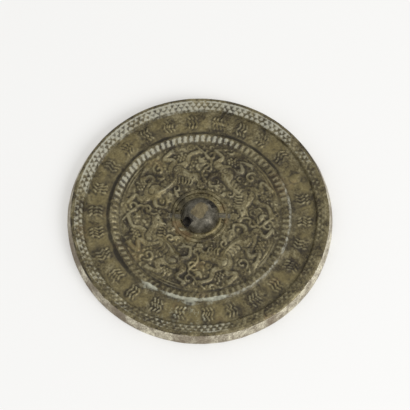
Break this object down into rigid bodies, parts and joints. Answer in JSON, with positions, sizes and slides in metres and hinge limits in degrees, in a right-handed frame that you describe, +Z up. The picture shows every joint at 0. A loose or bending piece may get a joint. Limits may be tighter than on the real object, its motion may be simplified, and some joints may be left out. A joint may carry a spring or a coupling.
{
  "type": "ancient bronze mirror",
  "caption": "Round cast bronze mirror lying face down: domed cord knob, running beasts and vine curls, toothed ridge, band of shallow strokes and sawtooth rim.",
  "frame": {"origin": "centre of the flat reflecting face, on the surface that the mirror lies on", "axes": "+Z up out of the decorated back, +X along the cord hole through the knob, +Y across it"},
  "size_m": [0.13, 0.13, 0.0109],
  "materials": {
    "patinated_bronze": "old cast bronze, olive brown patina with pale grey-green bloom on the rim and ridge, rubbed grey metal on the wall"
  },
  "bodies": {
    "root": {"mirror_casting": "patinated_bronze"}
  },
  "joints": []
}
